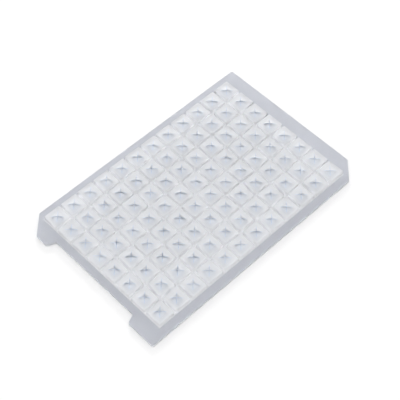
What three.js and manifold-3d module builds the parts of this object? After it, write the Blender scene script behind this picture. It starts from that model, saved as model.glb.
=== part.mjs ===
// A sealing mat for a plate of square wells, moulded in one piece of soft silicone and laid plug side up.
// Each plug closes one well, and a crossed slit lets a needle through the thin floor of the pocket behind it.
// Millimetres, +Z up, origin at the middle of the mat's underside, +X towards the end without the notch.
import * as THREE from "three";
import { mergeVertices } from "three/addons/utils/BufferGeometryUtils.js";
import Module from "manifold-3d";

// The plate that the mat closes
const columns = 12;
const rows = 8;
const wellPitch = 9;

// Plugs
const grooveWidth = 0.8;
const plugHeight = 2.7;
const plugCornerRadius = 0.9;

// Flange round the plugs
const flangeThickness = 1.6;
const endMargin = 7.4;
const sideMargin = 4.05;
const cornerChamfer = 8;
const cornerRadius = 1;

// Finger notch in one short end, between two lugs
const notchDepth = 4;
const lugLength = 14.3;
const lugSlopeRun = 1.6;
const notchCornerRadius = 1.3;

// Needle pocket behind each plug, and the crossed slit through the floor that it leaves
const pocketSide = 3.9;
const floorThickness = 1.7;
const slitGap = 0.12;
const slitTipMargin = 0.3;

// How far a cutter runs past the face that it opens, and a plug runs into the flange
const overrun = 0.6;

// Steps that a rounded corner is drawn in, in three.js's curveSegments: an arc takes two segments a step
const plugArcSteps = 1;
const flangeArcSteps = 3;

// Sizes that follow from those above
const plugSide = wellPitch - grooveWidth;
const matLength = columns * wellPitch - grooveWidth + 2 * endMargin;
const matWidth = rows * wellPitch - grooveWidth + 2 * sideMargin;
const matHeight = flangeThickness + plugHeight;
const pocketDepth = matHeight - floorThickness;
const slitReach = pocketSide / Math.SQRT2 - slitTipMargin;

const wasm = await Module();
wasm.setup();

// A closed geometry as a solid that can be joined and cut.
function toSolid(geometry) {
  const bare = geometry.clone();
  bare.deleteAttribute("normal");
  bare.deleteAttribute("uv");
  const merged = mergeVertices(bare);
  return new wasm.Manifold(new wasm.Mesh({
    numProp: 3,
    vertProperties: new Float32Array(merged.attributes.position.array),
    triVerts: new Uint32Array(merged.index.array),
  }));
}

// A finished solid as a geometry with flat faces.
function toGeometry(solid) {
  const mesh = solid.getMesh();
  const shared = new THREE.BufferGeometry();
  shared.setAttribute("position", new THREE.BufferAttribute(mesh.vertProperties, 3));
  shared.setIndex(new THREE.BufferAttribute(mesh.triVerts, 1));
  const flat = shared.toNonIndexed();
  flat.computeVertexNormals();
  return flat;
}

// An outline through corners given anticlockwise as { x, y, radius }, each one rounded to its own radius.
function roundedOutline(corners) {
  const shape = new THREE.Shape();
  corners.forEach((corner, index) => {
    const before = corners[(index + corners.length - 1) % corners.length];
    const after = corners[(index + 1) % corners.length];
    const point = new THREE.Vector2(corner.x, corner.y);
    const back = new THREE.Vector2(before.x, before.y).sub(point).normalize();
    const ahead = new THREE.Vector2(after.x, after.y).sub(point).normalize();
    const halfAngle = Math.acos(back.dot(ahead)) / 2;
    const turnsLeft = ahead.cross(back) > 0;
    const tangent = corner.radius / Math.tan(halfAngle);
    const start = point.clone().addScaledVector(back, tangent);
    const end = point.clone().addScaledVector(ahead, tangent);
    const towardsCentre = back.clone().add(ahead).normalize();
    const centre = point.clone().addScaledVector(towardsCentre, corner.radius / Math.sin(halfAngle));
    const startAngle = start.clone().sub(centre).angle();
    const endAngle = end.clone().sub(centre).angle();
    if (index === 0) {
      shape.moveTo(start.x, start.y);
    } else {
      shape.lineTo(start.x, start.y);
    }
    shape.absarc(centre.x, centre.y, corner.radius, startAngle, endAngle, !turnsLeft);
  });
  return shape;
}

// The flange: two corners on one diagonal are chamfered, and one short end has the notch between its lugs.
function buildFlange() {
  const endX = matLength / 2;
  const sideY = matWidth / 2;
  const notchX = -endX + notchDepth;
  const notchMouthY = sideY - lugLength;
  const notchFloorY = notchMouthY - lugSlopeRun;
  const outline = roundedOutline([
    { x: -endX, y: -sideY, radius: cornerRadius },
    { x: endX - cornerChamfer, y: -sideY, radius: cornerRadius },
    { x: endX, y: -sideY + cornerChamfer, radius: cornerRadius },
    { x: endX, y: sideY, radius: cornerRadius },
    { x: -endX + cornerChamfer, y: sideY, radius: cornerRadius },
    { x: -endX, y: sideY - cornerChamfer, radius: cornerRadius },
    { x: -endX, y: notchMouthY, radius: notchCornerRadius },
    { x: notchX, y: notchFloorY, radius: notchCornerRadius },
    { x: notchX, y: -notchFloorY, radius: notchCornerRadius },
    { x: -endX, y: -notchMouthY, radius: notchCornerRadius },
  ]);
  return new THREE.ExtrudeGeometry(outline, {
    depth: flangeThickness,
    curveSegments: flangeArcSteps,
    bevelEnabled: false,
  });
}

// One plug, centred on the origin in plan; its foot is buried in the flange.
function buildPlug() {
  const half = plugSide / 2;
  const outline = roundedOutline([
    { x: -half, y: -half, radius: plugCornerRadius },
    { x: half, y: -half, radius: plugCornerRadius },
    { x: half, y: half, radius: plugCornerRadius },
    { x: -half, y: half, radius: plugCornerRadius },
  ]);
  const plug = new THREE.ExtrudeGeometry(outline, {
    depth: plugHeight + overrun,
    curveSegments: plugArcSteps,
    bevelEnabled: false,
  });
  return plug.translate(0, 0, flangeThickness - overrun);
}

// The cutter for one needle pocket, open at the underside.
function buildPocket() {
  const pocket = new THREE.BoxGeometry(pocketSide, pocketSide, pocketDepth + overrun);
  return pocket.translate(0, 0, (pocketDepth - overrun) / 2);
}

// The cutter for one crossed slit: four arms along the diagonals, each narrowing to its tip.
function buildSlit() {
  const star = new THREE.Shape();
  const waist = slitGap / Math.SQRT2;
  const quarter = Math.PI / 2;
  for (let arm = 0; arm < 4; arm += 1) {
    const tipAngle = arm * quarter + quarter / 2;
    const waistAngle = (arm + 1) * quarter;
    const tip = new THREE.Vector2(slitReach * Math.cos(tipAngle), slitReach * Math.sin(tipAngle));
    if (arm === 0) {
      star.moveTo(tip.x, tip.y);
    } else {
      star.lineTo(tip.x, tip.y);
    }
    star.lineTo(waist * Math.cos(waistAngle), waist * Math.sin(waistAngle));
  }
  const slit = new THREE.ExtrudeGeometry(star, {
    depth: floorThickness + 2 * overrun,
    bevelEnabled: false,
  });
  return slit.translate(0, 0, pocketDepth - overrun);
}

// Copies of one geometry, one at each well of the plate.
function atEachWell(geometry) {
  const copies = [];
  for (let column = 0; column < columns; column += 1) {
    for (let row = 0; row < rows; row += 1) {
      const x = (column - (columns - 1) / 2) * wellPitch;
      const y = (row - (rows - 1) / 2) * wellPitch;
      copies.push(toSolid(geometry.clone().translate(x, y, 0)));
    }
  }
  return copies;
}

function buildMat() {
  let mat = toSolid(buildFlange());
  atEachWell(buildPlug()).forEach((plug) => {
    mat = mat.add(plug);
  });
  atEachWell(buildPocket()).forEach((pocket) => {
    mat = mat.subtract(pocket);
  });
  atEachWell(buildSlit()).forEach((slit) => {
    mat = mat.subtract(slit);
  });
  return mat;
}

const silicone = new THREE.MeshStandardMaterial({
  color: 0xdde2e8,
  roughness: 0.5,
  metalness: 0,
});

const sealingMat = new THREE.Mesh(toGeometry(buildMat()), silicone);
sealingMat.name = "sealing_mat";

const model = new THREE.Group();
model.add(sealingMat);

export default model;
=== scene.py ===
import math
import random

import bmesh
import bpy
from mathutils import Matrix, Vector


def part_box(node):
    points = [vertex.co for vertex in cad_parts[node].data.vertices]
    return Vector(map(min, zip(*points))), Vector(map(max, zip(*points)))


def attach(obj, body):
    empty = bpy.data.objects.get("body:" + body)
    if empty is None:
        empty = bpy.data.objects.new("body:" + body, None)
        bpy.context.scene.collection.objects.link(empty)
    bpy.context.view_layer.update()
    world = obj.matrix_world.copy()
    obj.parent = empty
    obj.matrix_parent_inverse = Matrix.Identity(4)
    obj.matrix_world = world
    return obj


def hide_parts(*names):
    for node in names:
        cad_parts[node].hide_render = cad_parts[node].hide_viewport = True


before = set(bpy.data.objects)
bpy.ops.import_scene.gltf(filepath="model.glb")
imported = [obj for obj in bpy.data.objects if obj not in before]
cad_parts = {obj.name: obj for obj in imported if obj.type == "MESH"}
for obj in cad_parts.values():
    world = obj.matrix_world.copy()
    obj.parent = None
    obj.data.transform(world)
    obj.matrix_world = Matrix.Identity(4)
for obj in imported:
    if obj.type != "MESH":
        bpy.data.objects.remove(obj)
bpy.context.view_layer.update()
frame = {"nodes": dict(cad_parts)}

matLow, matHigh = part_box("sealing_mat")
mm = 0.001
white = (1.0, 1.0, 1.0, 1.0)
print("frame loaded:", ", ".join(frame["nodes"]))


# A socket that can be used in sums: each operator adds one Math node and gives its result.
class Wire:
    def __init__(self, shader, socket):
        self.shader = shader
        self.socket = socket

    def __add__(self, other):
        return self.shader.maths("ADD", self, other)

    def __radd__(self, other):
        return self.shader.maths("ADD", other, self)

    def __sub__(self, other):
        return self.shader.maths("SUBTRACT", self, other)

    def __rsub__(self, other):
        return self.shader.maths("SUBTRACT", other, self)

    def __mul__(self, other):
        return self.shader.maths("MULTIPLY", self, other)

    def __rmul__(self, other):
        return self.shader.maths("MULTIPLY", other, self)

    def __mod__(self, other):
        return self.shader.maths("FLOORED_MODULO", self, other)

    def __rmod__(self, other):
        return self.shader.maths("FLOORED_MODULO", other, self)

    def __abs__(self):
        return self.shader.maths("ABSOLUTE", self, 0.0)


# The node tree of one material or world. make() adds any node; the other methods are short names for it.
class Shader:
    def __init__(self, owner):
        owner.use_nodes = True
        self.tree = owner.node_tree
        self.tree.nodes.clear()

    def make(self, kind, settings, sockets):
        node = self.tree.nodes.new("ShaderNode" + kind)
        for name, value in settings.items():
            setattr(node, name, value)
        for name, value in sockets.items():
            socket = next(s for s in node.inputs if name in (s.identifier, s.name))
            if isinstance(value, Wire):
                self.tree.links.new(value.socket, socket)
            else:
                socket.default_value = value
        return node

    def wire(self, node, name):
        return Wire(self, next(s for s in node.outputs if name in (s.identifier, s.name)))

    def maths(self, operation, first, second):
        node = self.make("Math", {"operation": operation}, {"Value": first, "Value_001": second})
        return self.wire(node, "Value")

    # 0 below low, 1 above high and a soft step between them
    def ramp(self, value, low, high):
        settings = {"clamp": True, "interpolation_type": "SMOOTHSTEP"}
        node = self.make("MapRange", settings, {"Value": value, "From Min": low, "From Max": high})
        return self.wire(node, "Result")

    # the same, with its start and end given from an origin
    def step(self, value, origin, edge):
        return self.ramp(value, origin + edge[0], origin + edge[1])

    def noise(self, place, scale, detail):
        node = self.make("TexNoise", {}, {"Vector": place, "Scale": scale, "Detail": detail})
        return self.wire(node, "Fac")

    def blend(self, factor, first, second):
        settings = {"data_type": "RGBA", "clamp_factor": True}
        sockets = {"Factor_Float": factor, "A_Color": first, "B_Color": second}
        return self.wire(self.make("Mix", settings, sockets), "Result_Color")

    def output(self, kind, surface):
        self.make(kind, {}, {"Surface": surface})


# Lengths in millimetres. The overall size comes from the frame.
matShape = {
    "columns": 12,
    "rows": 8,
    "wellPitch": 9.0,
    "plugSide": 8.2,
    "plugCorner": 0.65,
    "flangeThickness": 1.6,
    "cornerChamfer": 8.0,      # the two cut corners
    "cornerRadius": 1.0,
    "notchDepth": 4.0,         # the wide notch in one end, between two lugs
    "lugLength": 14.3,
    "lugSlopeRun": 1.6,
    "notchCorner": 1.3,
    "flangeTopRound": 0.3,
    "flangeFootRound": 0.12,
    "plugTopRound": 0.42,
    "plugFootRound": 0.15,
    "crownRise": 0.35,         # how far a plug's middle stands above its rim
    "crownReach": 2.5,
    "crownRings": ((0.3, 0.15), (-0.1, 0.02)),     # rows past its reach, with their corners
    "slitGap": 0.1,
    "slitGapSpread": 0.25,     # share by which the gaps differ from plug to plug
    "slitReach": 2.5,
    "slitShares": (1.0, 0.82, 0.64, 0.46, 0.3, 0.15),      # rows along the slit
    "slitSeed": 12,
    "pocketMouth": 1.95,       # half the width of the pocket behind a plug
    "pocketDraft": 0.15,
    "pocketCorner": 0.25,
    "pocketWall": 2.35,        # height at which the pocket's ceiling starts to rise
    "pocketRound": 0.4,
    "pocketRings": ((0.0, 0.3), (0.3, 0.225), (0.65, 0.1375)),     # shares of the way to the slit
    "membrane": 1.1,           # silicone left above the middle of the pocket
    "arcSteps": 4,
    "footSteps": 2,
    "plugTopSteps": 4,
    "flangeTopSteps": 3,
    "quarterSteps": 6,         # faces along one side of a plug
    "weldDistance": 0.002,
    "levelTolerance": 0.001,
    "sharpAngle": 35,          # degrees
}

matHeight = (matHigh.z - matLow.z) / mm
matLength = (matHigh.x - matLow.x) / mm
matWidth = (matHigh.y - matLow.y) / mm


# Points of the flange's outline, set in by some distance. Every inset gives the same number of points.
def flangeLoop(inset):
    s = matShape
    endX = matLength / 2
    sideY = matWidth / 2
    notchX = -endX + s["notchDepth"]
    mouthY = sideY - s["lugLength"]
    floorY = mouthY - s["lugSlopeRun"]
    cut = s["cornerChamfer"]
    corners = [
        (-endX, -sideY, s["cornerRadius"]),
        (endX - cut, -sideY, s["cornerRadius"]),
        (endX, -sideY + cut, s["cornerRadius"]),
        (endX, sideY, s["cornerRadius"]),
        (-endX + cut, sideY, s["cornerRadius"]),
        (-endX, sideY - cut, s["cornerRadius"]),
        (-endX, mouthY, s["notchCorner"]),
        (notchX, floorY, s["notchCorner"]),
        (notchX, -floorY, s["notchCorner"]),
        (-endX, -mouthY, s["notchCorner"]),
    ]
    points = []
    for i, (x, y, radius) in enumerate(corners):
        here = Vector((x, y))
        back = (Vector(corners[i - 1][:2]) - here).normalized()
        ahead = (Vector(corners[(i + 1) % len(corners)][:2]) - here).normalized()
        halfAngle = math.acos(back.dot(ahead)) / 2
        centre = here + (back + ahead).normalized() * (radius / math.sin(halfAngle))
        outward = 1 if ahead.cross(back) > 0 else -1
        first = Vector((-back.y, back.x)) * outward
        last = Vector((ahead.y, -ahead.x)) * outward
        turn = math.atan2(first.cross(last), first.dot(last))
        for step in range(s["arcSteps"] + 1):
            arm = Matrix.Rotation(turn * step / s["arcSteps"], 2) @ first
            points.append(centre + arm * (radius - inset * outward))
    return points


# The side of a rounded square that faces +X, from one diagonal to the other. Its middle third is straight.
def quarterRing(half, corner):
    straight = half - corner
    points = []
    for step in range(matShape["quarterSteps"] + 1):
        t = 2 * step / matShape["quarterSteps"] - 1
        side = math.copysign(1, t)
        onStraight = min(1.0, 3 * abs(t))
        angle = max(0.0, (3 * abs(t) - 1) / 2) * math.pi / 4
        x = straight + corner * math.cos(angle)
        y = side * (straight * onStraight + corner * math.sin(angle))
        points.append((x, y))
    return points


# One side of a square with sharp corners. Each corner is cut back by half the slit's gap there.
def squareSide(half, halfGap):
    cut = halfGap / math.sqrt(2)
    points = []
    for step in range(matShape["quarterSteps"] + 1):
        t = 2 * step / matShape["quarterSteps"] - 1
        points.append((half + abs(t) * cut, t * (half - cut)))
    return points


# Offset and height of the points on a rounded edge.
def roundedEdge(offset, height, radius, startAngle, endAngle, steps):
    angles = [startAngle + (endAngle - startAngle) * k / steps for k in range(steps + 1)]
    return [(offset + radius * math.cos(a), height + radius * math.sin(a)) for a in angles]


def raised(points, height):
    return [Vector((x, y, height)) for x, y in points]


def crownZ(r):
    s = matShape
    return matHeight - s["crownRise"] * min(1.0, r / s["crownReach"])


# The pocket's ceiling rises to its middle, and bends down into the pocket's walls.
def ceilingZ(r):
    s = matShape
    bend = s["pocketRound"]
    bendStart = s["pocketMouth"] - bend
    rise = matHeight - s["membrane"] - s["pocketWall"]
    drop = bend - math.sqrt(max(0.0, bend ** 2 - max(0.0, r - bendStart) ** 2))
    return s["pocketWall"] + rise * (1 - min(1.0, r / bendStart)) - drop


# A plug's outer faces: the groove's middle, the wall from its foot to the rounded rim, and the crown's start.
def plugRows():
    s = matShape
    half = s["plugSide"] / 2
    foot = s["plugFootRound"]
    top = s["plugTopRound"]
    rim = matHeight - s["crownRise"]
    path = roundedEdge(half + foot, s["flangeThickness"] + foot, foot, -math.pi / 2, -math.pi, s["footSteps"])
    path += roundedEdge(half - top, rim - top, top, 0, math.pi / 2, s["plugTopSteps"])
    rows = [raised(squareSide(s["wellPitch"] / 2, 0), s["flangeThickness"])]
    rows += [raised(quarterRing(offset, s["plugCorner"] + offset - half), z) for offset, z in path]
    for past, corner in s["crownRings"]:
        r = s["crownReach"] + past
        rows.append(raised(quarterRing(r, corner), crownZ(r)))
    return rows


# The flat underside, then the pocket's wall and ceiling as far as the slit.
def pocketRows():
    s = matShape
    mouth = s["pocketMouth"]
    slitHalf = s["slitReach"] / math.sqrt(2)
    rows = [
        raised(squareSide(s["wellPitch"] / 2, 0), 0.0),
        raised(quarterRing(mouth + s["pocketDraft"], s["pocketCorner"]), 0.0),
    ]
    for share, corner in s["pocketRings"]:
        offset = mouth + share * (slitHalf - mouth)
        rows.append(raised(quarterRing(offset, corner), ceilingZ(offset)))
    return rows


# Rows along the slit, which widens from its ends to the plug's middle. The last row is one point.
def slitRows(slitGap, heightAt):
    s = matShape
    rows = []
    for share in s["slitShares"]:
        r = s["slitReach"] / math.sqrt(2) * share
        rows.append(raised(squareSide(r, slitGap / 2 * (1 - share)), heightAt(r)))
    return rows + [raised([(slitGap / math.sqrt(2), 0)], heightAt(0))]


# Faces from row to row. A row of one point closes the last one.
def addRows(bm, rows, turn, centre):
    made = [[bm.verts.new(centre + turn @ point) for point in row] for row in rows]
    for a, b in zip(made, made[1:]):
        for k in range(len(a) - 1):
            far = [b[0]] if len(b) == 1 else [b[k + 1], b[k]]
            bm.faces.new([a[k], a[k + 1]] + far)
    return made


# One plug with its pocket and its slit, as four equal quarters that reach the middle of the grooves round it.
def addPlug(bm, centre, slitGap):
    s = matShape
    upperRows = plugRows() + slitRows(slitGap, crownZ)
    lowerRows = pocketRows() + slitRows(slitGap, ceilingZ)
    slitCount = len(s["slitShares"]) + 1
    for quarter in range(4):
        turn = Matrix.Rotation(quarter * math.pi / 2, 3, "Z")
        upper = addRows(bm, upperRows, turn, centre)[-slitCount:]
        lower = addRows(bm, lowerRows, turn, centre)[-slitCount:]
        for end in (0, -1):
            for k in range(slitCount - 1):
                bm.faces.new([upper[k][end], upper[k + 1][end], lower[k + 1][end], lower[k][end]])


# The rim round the plugs: its rounded edge, then its flat top and bottom up to the outermost grooves.
def addFlange(bm):
    s = matShape
    top = s["flangeTopRound"]
    foot = s["flangeFootRound"]
    thick = s["flangeThickness"]
    path = roundedEdge(-foot, foot, foot, -math.pi / 2, 0, s["footSteps"])
    path += roundedEdge(-top, thick - top, top, 0, math.pi / 2, s["flangeTopSteps"])
    loops = [[bm.verts.new((p.x, p.y, z)) for p in flangeLoop(-offset)] for offset, z in path]
    count = len(loops[0])
    for a, b in zip(loops, loops[1:]):
        for k in range(count):
            bm.faces.new([a[k], a[(k + 1) % count], b[(k + 1) % count], b[k]])
    openEdges = [e for e in bm.edges if e.is_boundary]
    for level in (0.0, thick):
        around = [e for e in openEdges if all(abs(v.co.z - level) < s["levelTolerance"] for v in e.verts)]
        bmesh.ops.triangle_fill(bm, use_beauty=True, use_dissolve=False, edges=around)


def addPlugs(bm):
    s = matShape
    drawn = random.Random(s["slitSeed"])
    for column in range(s["columns"]):
        for row in range(s["rows"]):
            gap = s["slitGap"] * (1 + s["slitGapSpread"] * drawn.uniform(-1, 1))
            cx = (column - (s["columns"] - 1) / 2) * s["wellPitch"]
            cy = (row - (s["rows"] - 1) / 2) * s["wellPitch"]
            addPlug(bm, Vector((cx, cy, 0)), gap)
    bmesh.ops.remove_doubles(bm, verts=bm.verts, dist=s["weldDistance"])


def buildMat():
    s = matShape
    bm = bmesh.new()
    addPlugs(bm)
    addFlange(bm)
    bmesh.ops.recalc_face_normals(bm, faces=bm.faces)
    bmesh.ops.scale(bm, vec=(mm, mm, mm), verts=bm.verts)
    bmesh.ops.translate(bm, vec=(0, 0, matLow.z), verts=bm.verts)
    mesh = bpy.data.meshes.new("siliconeMat")
    bm.to_mesh(mesh)
    bm.free()
    mesh.polygons.foreach_set("use_smooth", [True] * len(mesh.polygons))
    mesh.set_sharp_from_angle(angle=math.radians(s["sharpAngle"]))
    piece = bpy.data.objects.new("siliconeMat", mesh)
    bpy.context.scene.collection.objects.link(piece)
    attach(piece, "root")
    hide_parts("sealing_mat")
    triangles = sum(len(face.vertices) - 2 for face in mesh.polygons)
    print("mat built:", s["columns"] * s["rows"], "plugs,", triangles, "triangles")
    return piece


# The silicone is a mix of clear and milky. A tint is its colour where it is clear, a colour is that where it
# is milky, and the milk values say how much of it is milky. Lengths are in millimetres. The pairs are where a
# region starts and ends: half widths of a cell, or what the note says.
siliconeLook = {
    "topTint": (0.98, 0.98, 0.98, 1.0),
    "topColour": (0.70, 0.705, 0.725, 1.0),
    "topMilk": 0.4,
    "membraneMilk": 0.3,
    # painted shade: the pocket's ceiling is tinted dark blue, and darker still where it bends into the
    # pocket's walls, standing in for the shade inside the closed pocket
    "ceilingPaintedShadeTint": (0.79, 0.87, 0.97, 1.0),
    "ceilingPaintedShadeColour": (0.45, 0.62, 0.92, 1.0),
    "ceilingMilk": 0.2,
    "bendPaintedShadeTint": (0.58, 0.69, 0.91, 1.0),
    "pocketTint": (0.97, 0.98, 0.99, 1.0),
    "pocketMilk": 0.0,
    # painted shade: a dark blue line, slitWidth wide, along both slits over each pocket
    "slitPaintedShadeColour": (0.42, 0.58, 0.88, 1.0),
    "slitMilk": 0.22,
    "slitWidth": 0.4,
    "grooveTint": (0.99, 0.99, 1.0, 1.0),
    "grooveColour": (0.99, 0.98, 0.97, 1.0),
    "grooveMilk": 0.18,
    # painted shade: darker where the grooves cross
    "crossingPaintedShadeTint": (0.93, 0.93, 0.94, 1.0),
    "crossingPaintedShadeColour": (0.84, 0.84, 0.86, 1.0),
    "outerWallColour": (0.78, 0.78, 0.79, 1.0),
    "outerWallMilk": 0.5,
    "flangeTint": (0.89, 0.905, 0.95, 1.0),
    "flangeColour": (0.55, 0.565, 0.615, 1.0),
    # painted light: the flange's sides and underside are lighter than its top
    "flangeSidePaintedLightColour": (0.76, 0.77, 0.79, 1.0),
    "flangeMilk": 0.6,
    "innerColour": (0.85, 0.86, 0.88, 1.0),
    "innerMilkShare": 0.17,    # less milky for light that is already inside
    "grooveEdge": (3.2, 3.8),
    "crossingEdge": (3.2, 4.1),
    "membraneEdge": (2.2, 2.8),
    "pocketEdge": (-0.35, 0.25),       # distances from the pocket's mouth
    "bendEdge": (-0.5, -0.2),
    "rimEdge": (-0.25, -0.05),         # heights from a plug's rim
    "flangeEdge": (-0.5, 0.0),         # heights from the flange's top
    "pocketWallEdge": (0.0, 0.2),      # heights from the top of the pocket's walls
    "outerWallEdge": (-0.3, -0.1),     # distances from the outermost walls
    "flangeStart": 0.1,                # distance from the outermost walls
    "roughness": 0.6,
    "membraneRoughness": 0.3,
    "ior": 1.41,
    "scatterScale": 0.0005,
    "scatterRadius": (1.0, 1.0, 1.0),
    "mottleScale": 260.0,
    "mottleDetail": 3.0,
    "mottleRange": (0.3, 0.7),
    "mottleShade": 0.05,
    "mottleRoughness": 0.12,
    "grainScale": 2600.0,
    "grainDetail": 2.0,
    "grainDepth": 0.000012,
}


# A value, or a wire, that goes from one amount to another where the mask is 1.
def turnInto(before, after, mask):
    return before + mask * (after - before)


# Masks for the parts of the mat, from the place of a point.
def siliconeRegions(shader, place):
    look = siliconeLook
    s = matShape
    parts = shader.make("SeparateXYZ", {}, {"Vector": place})
    x, y, z = (shader.wire(parts, name) * (1 / mm) for name in "XYZ")

    # how far a point is from the middle of its cell
    pitch = s["wellPitch"]
    cellX = abs(x % pitch - pitch / 2)
    cellY = abs(y % pitch - pitch / 2)
    half = shader.maths("MAXIMUM", cellX, cellY)
    corner = shader.maths("MINIMUM", cellX, cellY)

    # how far it is past the outermost cells
    pastEnd = abs(x) - s["columns"] * pitch / 2
    pastSide = abs(y) - s["rows"] * pitch / 2
    past = shader.maths("MAXIMUM", pastEnd, pastSide)
    outerWallAt = (s["plugSide"] - pitch) / 2
    flange = shader.ramp(past, outerWallAt + look["flangeStart"], 0.0)
    onPlugs = 1 - flange

    top = shader.step(z, matHeight - s["crownRise"], look["rimEdge"])
    groove = shader.step(half, 0.0, look["grooveEdge"])
    overPocket = 1 - shader.step(half, s["pocketMouth"], look["pocketEdge"])
    nearSlit = 1 - shader.ramp(abs(cellX - cellY), 0.0, look["slitWidth"])
    belowCeiling = 1 - shader.step(z, s["pocketWall"] - s["pocketRound"], look["pocketWallEdge"])
    pocketWall = onPlugs * (1 - groove) * belowCeiling
    return {
        "top": top,
        "groove": groove,
        # where shade is painted at the grooves' crossings
        "crossing": shader.step(corner, 0.0, look["crossingEdge"]),
        "overPocket": overPocket,
        "membrane": onPlugs * (1 - shader.step(half, 0.0, look["membraneEdge"])),
        # where shade is painted along the slits
        "slit": nearSlit * onPlugs * overPocket,
        "pocketWall": pocketWall,
        # where shade is painted, darker, in the bend of the pocket's ceiling
        "bend": shader.step(half, s["pocketMouth"], look["bendEdge"]) * (1 - pocketWall) * (1 - top),
        "outerWall": shader.step(past, outerWallAt, look["outerWallEdge"]),
        "flange": flange,
        # where light is painted on the flange's sides and underside
        "flangeSide": 1 - shader.step(z, s["flangeThickness"], look["flangeEdge"]),
        "inner": shader.wire(shader.make("NewGeometry", {}, {}), "Backfacing"),
    }


def milkShare(masks):
    look = siliconeLook
    topMilk = turnInto(look["topMilk"], look["membraneMilk"], masks["overPocket"])
    milk = turnInto(look["ceilingMilk"], look["grooveMilk"], masks["groove"])
    milk = turnInto(milk, look["outerWallMilk"], masks["outerWall"])
    milk = turnInto(milk, topMilk, masks["top"])
    milk = turnInto(milk, look["flangeMilk"], masks["flange"])
    milk = milk * turnInto(1.0, look["innerMilkShare"], masks["inner"])
    # the slit's walls take more of the milky colour, which carries the painted slit shade
    milk = turnInto(milk, look["slitMilk"], masks["slit"] * (1 - masks["top"]))
    return turnInto(milk, look["pocketMilk"], masks["pocketWall"])


def milkyColour(shader, masks, mottle):
    look = siliconeLook
    # painted shade where the grooves cross
    inGroove = shader.blend(masks["crossing"], look["grooveColour"], look["crossingPaintedShadeColour"])
    # painted light on the flange's sides and underside
    onFlange = shader.blend(masks["flangeSide"], look["flangeColour"], look["flangeSidePaintedLightColour"])
    # painted shade: the pocket's ceiling is dark blue, also where it is seen from inside the silicone
    seenInside = shader.blend(masks["groove"], look["ceilingPaintedShadeColour"], look["innerColour"])
    colour = shader.blend(masks["groove"], look["ceilingPaintedShadeColour"], inGroove)
    colour = shader.blend(masks["top"], colour, look["topColour"])
    # painted shade along the slits
    colour = shader.blend(masks["slit"], colour, look["slitPaintedShadeColour"])
    colour = shader.blend(masks["outerWall"] * (1 - masks["top"]), colour, look["outerWallColour"])
    colour = shader.blend(masks["inner"], colour, seenInside)
    colour = shader.blend(masks["pocketWall"], colour, look["pocketTint"])
    colour = shader.blend(masks["flange"], colour, onFlange)
    return shader.blend(shader.step(mottle, 0.0, look["mottleRange"]) * look["mottleShade"], colour, white)


def clearTint(shader, masks):
    look = siliconeLook
    # painted shade where the grooves cross
    inGroove = shader.blend(masks["crossing"], look["grooveTint"], look["crossingPaintedShadeTint"])
    # painted shade: the pocket's ceiling, darker in its bend
    tint = shader.blend(masks["bend"], look["ceilingPaintedShadeTint"], look["bendPaintedShadeTint"])
    tint = shader.blend(masks["pocketWall"], tint, look["pocketTint"])
    tint = shader.blend(masks["top"], tint, look["topTint"])
    tint = shader.blend(masks["groove"], tint, inGroove)
    return shader.blend(masks["flange"], tint, look["flangeTint"])


# A matt moulded skin with a fine grain, smoother over the pockets.
def siliconeMaterial():
    look = siliconeLook
    material = bpy.data.materials.new("translucentSilicone")
    shader = Shader(material)
    place = shader.wire(shader.make("TexCoord", {}, {}), "Object")
    masks = siliconeRegions(shader, place)
    mottle = shader.noise(place, look["mottleScale"], look["mottleDetail"])
    grain = shader.noise(place, look["grainScale"], look["grainDetail"])
    bump = shader.make("Bump", {}, {"Height": grain, "Distance": look["grainDepth"]})
    roughness = turnInto(look["roughness"], look["membraneRoughness"], masks["membrane"])
    clear = shader.make("BsdfPrincipled", {}, {
        "Base Color": clearTint(shader, masks),
        "Roughness": roughness,
        "IOR": look["ior"],
        "Transmission Weight": 1.0,
    })
    milky = shader.make("BsdfPrincipled", {}, {
        "Base Color": milkyColour(shader, masks, mottle),
        "Roughness": roughness + (mottle - 0.5) * look["mottleRoughness"],      # 0.5 is the noise's middle
        "IOR": look["ior"],
        "Normal": shader.wire(bump, "Normal"),
        "Subsurface Weight": 1.0,
        "Subsurface Radius": look["scatterRadius"],
        "Subsurface Scale": look["scatterScale"],
    })
    both = shader.make("MixShader", {}, {
        "Fac": milkShare(masks),
        "Shader": shader.wire(clear, "BSDF"),
        "Shader_001": shader.wire(milky, "BSDF"),
    })
    shader.output("OutputMaterial", shader.wire(both, "Shader"))
    print("silicone material made:", len(shader.tree.nodes), "nodes")
    return material


# Angles in degrees: azimuth 0 looks from -Y, and 90 from +X.
stageLook = {
    "floorSize": 3.0,          # metres
    "floorGap": 0.02,          # millimetres under the mat
    "floorColour": (0.9, 0.9, 0.9, 1.0),
    "floorGlow": 0.11,
    "floorGlowThroughMat": 0.15,       # for mirrored and refracted views of the floor
    "skyStrength": 0.95,
    "skyTilt": 0.12,           # how much brighter the sky is behind the mat
    "lampAzimuth": 137.0,
    "lampElevation": 21.5,
    "lampDistance": 1.2,
    "lampSize": 0.1,
    "lampPower": 3.2,
}


def towards(azimuth, elevation):
    a = math.radians(azimuth)
    e = math.radians(elevation)
    return Vector((math.sin(a) * math.cos(e), -math.cos(a) * math.cos(e), math.sin(e)))


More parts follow.
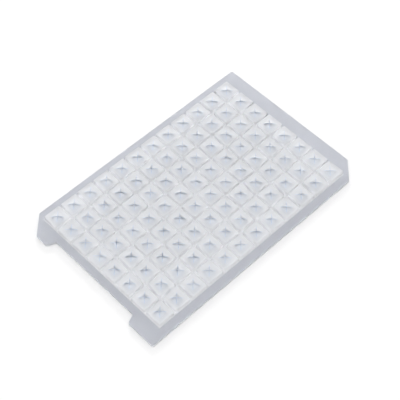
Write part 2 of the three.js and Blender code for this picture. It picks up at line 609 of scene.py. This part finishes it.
def buildFloor():
    look = stageLook
    half = look["floorSize"] / 2
    level = matLow.z - look["floorGap"] * mm
    corners = [(-half, -half, level), (half, -half, level), (half, half, level), (-half, half, level)]
    mesh = bpy.data.meshes.new("floor")
    mesh.from_pydata(corners, [], [(0, 1, 2, 3)])
    floor = bpy.data.objects.new("floor", mesh)
    bpy.context.scene.collection.objects.link(floor)
    material = bpy.data.materials.new("paleFloor")
    shader = Shader(material)
    matt = shader.make("BsdfDiffuse", {}, {"Color": look["floorColour"]})
    paths = shader.make("LightPath", {}, {})
    seen = shader.wire(paths, "Is Camera Ray") * look["floorGlow"]
    through = shader.wire(paths, "Is Glossy Ray") + shader.wire(paths, "Is Transmission Ray")
    glow = shader.make("Emission", {}, {"Strength": seen + through * look["floorGlowThroughMat"]})
    both = {"Shader": shader.wire(matt, "BSDF"), "Shader_001": shader.wire(glow, "Emission")}
    shader.output("OutputMaterial", shader.wire(shader.make("AddShader", {}, both), "Shader"))
    mesh.materials.append(material)


def buildSky():
    look = stageLook
    world = bpy.data.worlds.new("studioSky")
    bpy.context.scene.world = world
    shader = Shader(world)
    heading = shader.wire(shader.make("TexCoord", {}, {}), "Generated")
    sockets = {"Vector": heading, "Vector_001": towards(look["lampAzimuth"], 0)}
    facing = shader.wire(shader.make("VectorMath", {"operation": "DOT_PRODUCT"}, sockets), "Value")
    strength = look["skyStrength"] * (1 + look["skyTilt"] * facing)
    seen = shader.wire(shader.make("LightPath", {}, {}), "Is Camera Ray")
    sky = shader.make("Background", {}, {"Color": white, "Strength": strength + seen * (1 - strength)})
    shader.output("OutputWorld", shader.wire(sky, "Background"))


def buildLamp():
    look = stageLook
    lamp = bpy.data.lights.new("backLamp", "AREA")
    lamp.shape = "DISK"
    lamp.size = look["lampSize"]
    lamp.energy = look["lampPower"]
    holder = bpy.data.objects.new("backLamp", lamp)
    away = towards(look["lampAzimuth"], look["lampElevation"])
    holder.location = away * look["lampDistance"]
    holder.rotation_euler = (-away).to_track_quat("-Z", "Y").to_euler()
    bpy.context.scene.collection.objects.link(holder)


cameraView = {
    "azimuth": -43.23,
    "elevation": 54.84,
    "roll": -0.764,
    "distance": 0.47445,
    "target": (0.00090, -0.00172, 0.0),
    "lens": 100.489,
    "sensorWidth": 36.0,
    "nearest": 0.01,
}


def buildCamera():
    view = cameraView
    data = bpy.data.cameras.new("camera")
    data.lens = view["lens"]
    data.sensor_width = view["sensorWidth"]
    data.clip_start = view["nearest"]
    camera = bpy.data.objects.new("camera", data)
    back = towards(view["azimuth"], view["elevation"])
    turn = (-back).to_track_quat("-Z", "Y").to_matrix()
    turn = turn @ Matrix.Rotation(math.radians(view["roll"]), 3, "Z")
    place = Vector(view["target"]) + back * view["distance"]
    camera.matrix_world = Matrix.Translation(place) @ turn.to_4x4()
    bpy.context.scene.collection.objects.link(camera)
    bpy.context.scene.camera = camera


buildCamera()
buildFloor()
buildSky()
buildLamp()
bpy.context.scene.view_settings.view_transform = "Standard"
print("camera, floor, sky and lamp placed")
mat = buildMat()
mat.data.materials.append(siliconeMaterial())
